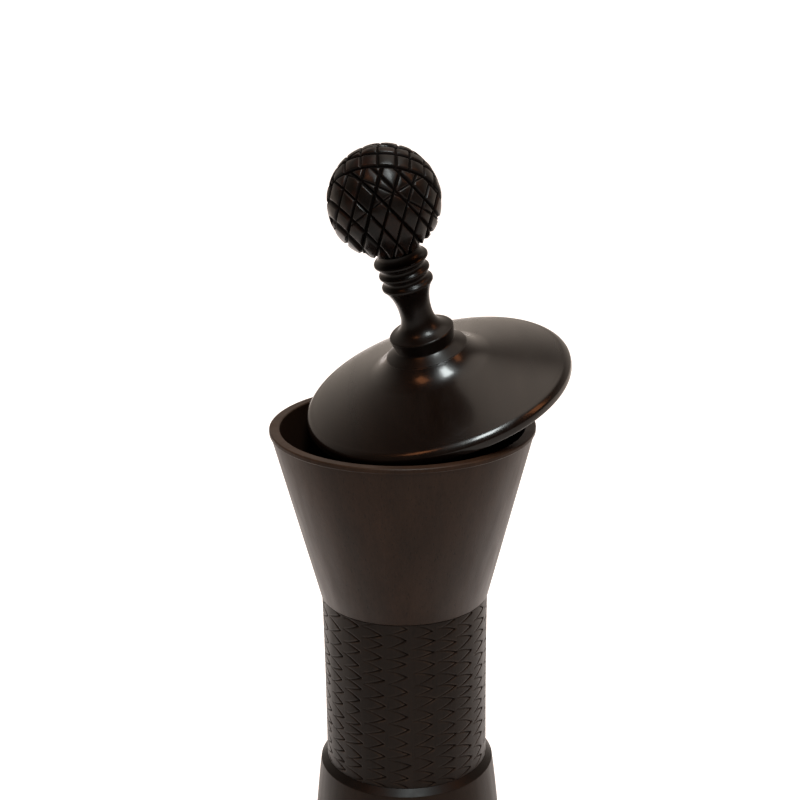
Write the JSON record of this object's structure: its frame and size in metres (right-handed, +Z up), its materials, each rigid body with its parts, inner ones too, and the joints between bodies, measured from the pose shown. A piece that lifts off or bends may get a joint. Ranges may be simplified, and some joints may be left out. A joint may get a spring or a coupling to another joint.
{
  "type": "pepper mill",
  "caption": "Dark turned wooden pepper mill: conical cup, carved grip, flared foot, and a domed disc lid with a beaded stem and carved ball, leaning open in the mouth.",
  "frame": {"origin": "middle of the foot, on the surface it stands on", "axes": "+Z up along the body's turning axis; the lid leans towards -X and -Y; the pictured side faces -Y"},
  "size_m": [0.0911, 0.089, 0.2851],
  "materials": {
    "cup_wood": "matte brown-black stain, fine grain",
    "grip_wood": "matte brown-black stain, hand-cut scales",
    "base_wood": "matte brown-black stain, fine grain",
    "lid_wood": "satin polish over dark stain",
    "stem_wood": "satin polish over dark stain",
    "ball_wood": "satin polish over dark stain, cut grooves",
    "dowel_wood": "plain beech",
    "sheet_steel": "pressed sheet",
    "screw_steel": "zinc plated",
    "burr_steel": "hardened, dark",
    "shaft_steel": "turned",
    "spring_steel": "drawn wire",
    "nut_brass": "knurled"
  },
  "bodies": {
    "mill_body": {"hopper_cup": "cup_wood", "grip_sleeve": "grip_wood", "lower_body": "base_wood", "shaft_bridge": "sheet_steel", "bridge_screws": "screw_steel", "burr_housing": "sheet_steel", "stator_burr": "burr_steel", "retaining_ring": "sheet_steel", "housing_screws": "screw_steel"},
    "drive": {"drive_shaft": "shaft_steel", "shaft_washer": "shaft_steel", "shaft_clip": "spring_steel", "spring_washer": "shaft_steel", "rotor_spring": "spring_steel"},
    "rotor": {"rotor_burr": "burr_steel"},
    "adjuster": {"adjuster_nut": "nut_brass"},
    "head": {"lid": "lid_wood", "finial_stem": "stem_wood", "ball_knob": "ball_wood", "knob_dowel": "dowel_wood", "stem_screw": "screw_steel", "drive_socket": "shaft_steel", "socket_screws": "screw_steel"}
  },
  "joints": [
    {"name": "shaft_turn", "type": "hinge", "parent": "mill_body", "child": "drive", "pos_m": [0, 0, 0.15], "axis": [0, 0, 1], "continuous": true},
    {"name": "lid_swing", "type": "hinge", "parent": "drive", "child": "head", "pos_m": [-0.00407, -0.0031, 0.25023], "axis": [0.606, -0.7955, 0], "range_deg": [-17.8, 60]},
    {"name": "rotor_gap", "type": "slide", "parent": "drive", "child": "rotor", "axis": [0, 0, 1], "range_m": [-0.0007, 0.0007], "deforming": ["rotor_spring"]},
    {"name": "adjuster_turn", "type": "hinge", "parent": "rotor", "child": "adjuster", "pos_m": [0, 0, 0.0083], "axis": [0, 0, 1], "range_deg": [-360, 360]}
  ],
  "couplings": [
    {"joint": "adjuster_turn", "follows": "rotor_gap", "rad_per_m": 8976}
  ]
}
